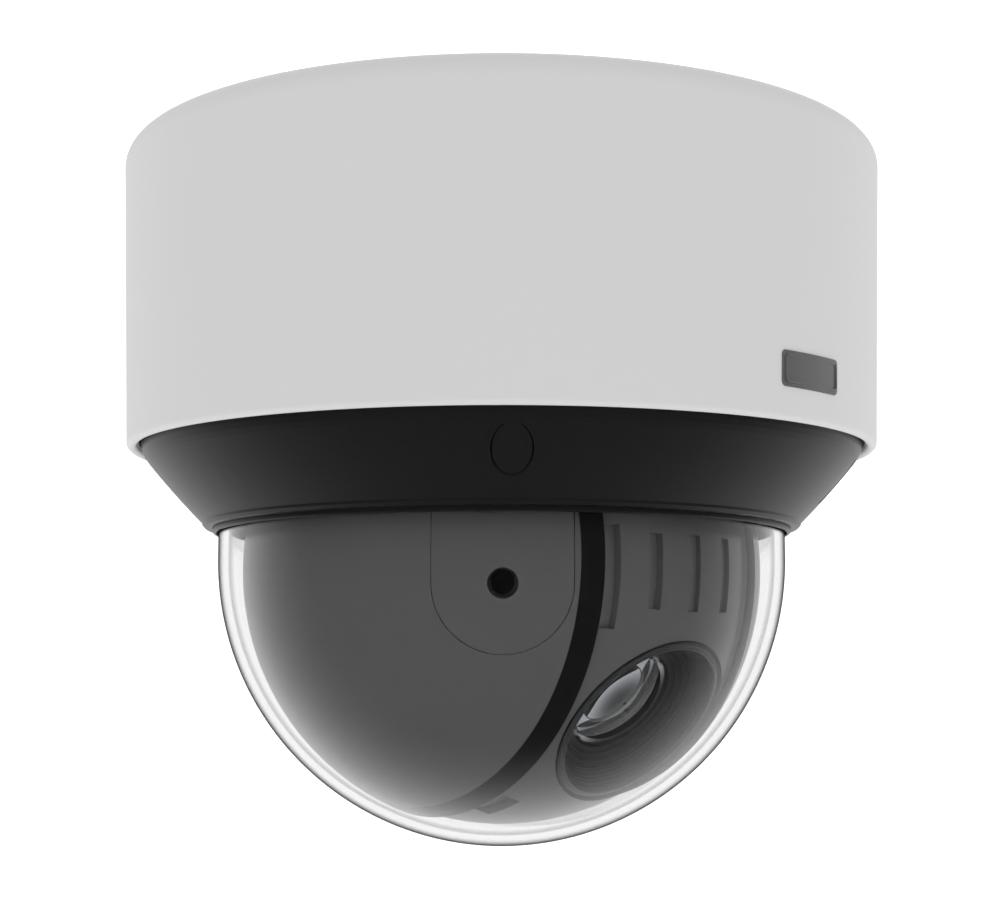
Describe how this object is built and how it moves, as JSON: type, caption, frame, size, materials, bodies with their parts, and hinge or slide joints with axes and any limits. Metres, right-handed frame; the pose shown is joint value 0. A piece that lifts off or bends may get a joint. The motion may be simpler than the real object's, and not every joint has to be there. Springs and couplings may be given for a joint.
{
  "type": "ptz camera",
  "caption": "Ceiling pan-tilt-zoom dome camera: white drum housing, black conical collar and clear dome over a panning yoke and tilting ball with a zoom lens.",
  "frame": {"origin": "centre of the ceiling mounting face, on the pan axis", "axes": "+Z out of the ceiling plate towards the ceiling, so the camera hangs in -Z; -Y is the front"},
  "size_m": [0.1668, 0.1668, 0.1522],
  "materials": {
    "white_paint": "fine satin powder coat",
    "black_plastic": "fine textured satin",
    "clear_dome": "clear polished polycarbonate",
    "grey_shell": "glossy moulded",
    "black_gloss": "smooth moulded",
    "steel": "zinc plated",
    "screw_steel": "stainless",
    "cast_alloy": "die cast",
    "rubber": "matt moulded",
    "badge_metal": "satin anodised",
    "circuit_board": "solder mask",
    "gear_plastic": "acetal",
    "brass": "turned",
    "lens_glass": "coated optical glass",
    "terminal_green": "moulded",
    "dark_plastic": "fine matt"
  },
  "bodies": {
    "root": {"ceiling_plate": "steel", "hook_studs": "screw_steel", "ceiling_gasket": "rubber", "housing": "white_paint", "cable_grommet": "rubber", "name_badge": "badge_metal", "chassis_plate": "steel", "chassis_screws": "screw_steel", "main_board": "circuit_board", "board_screws": "screw_steel", "network_socket": "steel", "terminal_block": "terminal_green", "memory_card_socket": "steel", "memory_card": "dark_plastic", "heat_sink": "dark_plastic", "pan_motor": "cast_alloy", "pan_bearing_inner": "steel", "slip_ring_stator": "dark_plastic", "collar": "black_plastic", "collar_screws": "screw_steel", "collar_plugs": "black_plastic", "housing_seal": "rubber", "dome": "clear_dome", "dome_seal": "rubber", "dome_clamp_ring": "dark_plastic", "clamp_screws": "screw_steel"},
    "pan_unit": {"yoke": "cast_alloy", "pan_gear": "gear_plastic", "pan_bearing_outer": "steel", "pan_bearing_balls": "steel", "slip_ring_rotor": "dark_plastic", "side_shell_left": "grey_shell", "side_shell_right": "grey_shell", "cheek_left": "black_gloss", "cheek_right": "black_gloss", "side_hatch": "grey_shell", "shell_screws": "screw_steel", "tilt_motor": "cast_alloy", "tilt_bushings": "brass", "motion_board": "circuit_board"},
    "tilt_unit": {"ball_front_shell": "grey_shell", "ball_rear_shell": "grey_shell", "lens_bezel": "dark_plastic", "front_glass": "lens_glass", "zoom_block": "dark_plastic", "tilt_cradle": "steel", "tilt_gear": "gear_plastic", "sensor_board": "circuit_board", "lens_motors": "steel", "guide_rods": "screw_steel"},
    "pan_pinion": {"pan_pinion": "brass"},
    "tilt_pinion": {"tilt_pinion": "brass"},
    "reset_button": {"reset_button": "dark_plastic"},
    "zoom_group": {"zoom_group": "dark_plastic"},
    "focus_group": {"focus_group": "dark_plastic"},
    "zoom_screw": {"zoom_screw": "screw_steel"},
    "focus_screw": {"focus_screw": "screw_steel"},
    "filter_slide": {"filter_slide": "dark_plastic"},
    "iris_upper": {"iris_upper_blade": "dark_plastic"},
    "iris_lower": {"iris_lower_blade": "dark_plastic"}
  },
  "joints": [
    {"name": "pan", "type": "hinge", "parent": "root", "child": "pan_unit", "pos_m": [0, 0, -0.0925], "axis": [0, 0, 1], "continuous": true},
    {"name": "tilt", "type": "hinge", "parent": "pan_unit", "child": "tilt_unit", "pos_m": [0, 0, -0.0925], "axis": [0.712, 0.7022, 0], "range_deg": [-39, 51]},
    {"name": "pan_pinion_spin", "type": "hinge", "parent": "root", "child": "pan_pinion", "pos_m": [0, 0.0525, -0.033], "axis": [0, 0, 1], "continuous": true},
    {"name": "tilt_pinion_spin", "type": "hinge", "parent": "pan_unit", "child": "tilt_pinion", "pos_m": [0.02136, 0.02106, -0.0754], "axis": [0.712, 0.7022, 0], "range_deg": [-191.25, 146.25]},
    {"name": "reset_button_press", "type": "slide", "parent": "root", "child": "reset_button", "axis": [0, 0, -1], "range_m": [0, 0.0005], "stiffness_N_per_m": 400, "springref_m": -0.0005},
    {"name": "zoom_travel", "type": "slide", "parent": "tilt_unit", "child": "zoom_group", "axis": [0.5457, -0.5533, -0.6293], "range_m": [-0.004, 0.004]},
    {"name": "focus_travel", "type": "slide", "parent": "tilt_unit", "child": "focus_group", "axis": [0.5457, -0.5533, -0.6293], "range_m": [-0.004, 0.004]},
    {"name": "zoom_screw_spin", "type": "hinge", "parent": "tilt_unit", "child": "zoom_screw", "pos_m": [0.00351, 0.01495, -0.1026], "axis": [0.5457, -0.5533, -0.6293], "continuous": true},
    {"name": "focus_screw_spin", "type": "hinge", "parent": "tilt_unit", "child": "focus_screw", "pos_m": [-0.00351, -0.01495, -0.0824], "axis": [0.5457, -0.5533, -0.6293], "continuous": true},
    {"name": "filter_shift", "type": "slide", "parent": "tilt_unit", "child": "filter_slide", "axis": [0.712, 0.7022, 0], "range_m": [0, 0.007]},
    {"name": "iris_upper_slide", "type": "slide", "parent": "tilt_unit", "child": "iris_upper", "axis": [-0.4419, 0.4481, -0.7771], "range_m": [0, 0.004]},
    {"name": "iris_lower_slide", "type": "slide", "parent": "tilt_unit", "child": "iris_lower", "axis": [0.4419, -0.4481, 0.7771], "range_m": [0, 0.004]}
  ],
  "couplings": [
    {"joint": "pan_pinion_spin", "follows": "pan", "ratio": -6},
    {"joint": "tilt_pinion_spin", "follows": "tilt", "ratio": -3.75},
    {"joint": "zoom_screw_spin", "follows": "zoom_travel", "rad_per_m": 3141.6},
    {"joint": "focus_screw_spin", "follows": "focus_travel", "rad_per_m": 3141.6},
    {"joint": "iris_lower_slide", "follows": "iris_upper_slide", "ratio": 1}
  ]
}
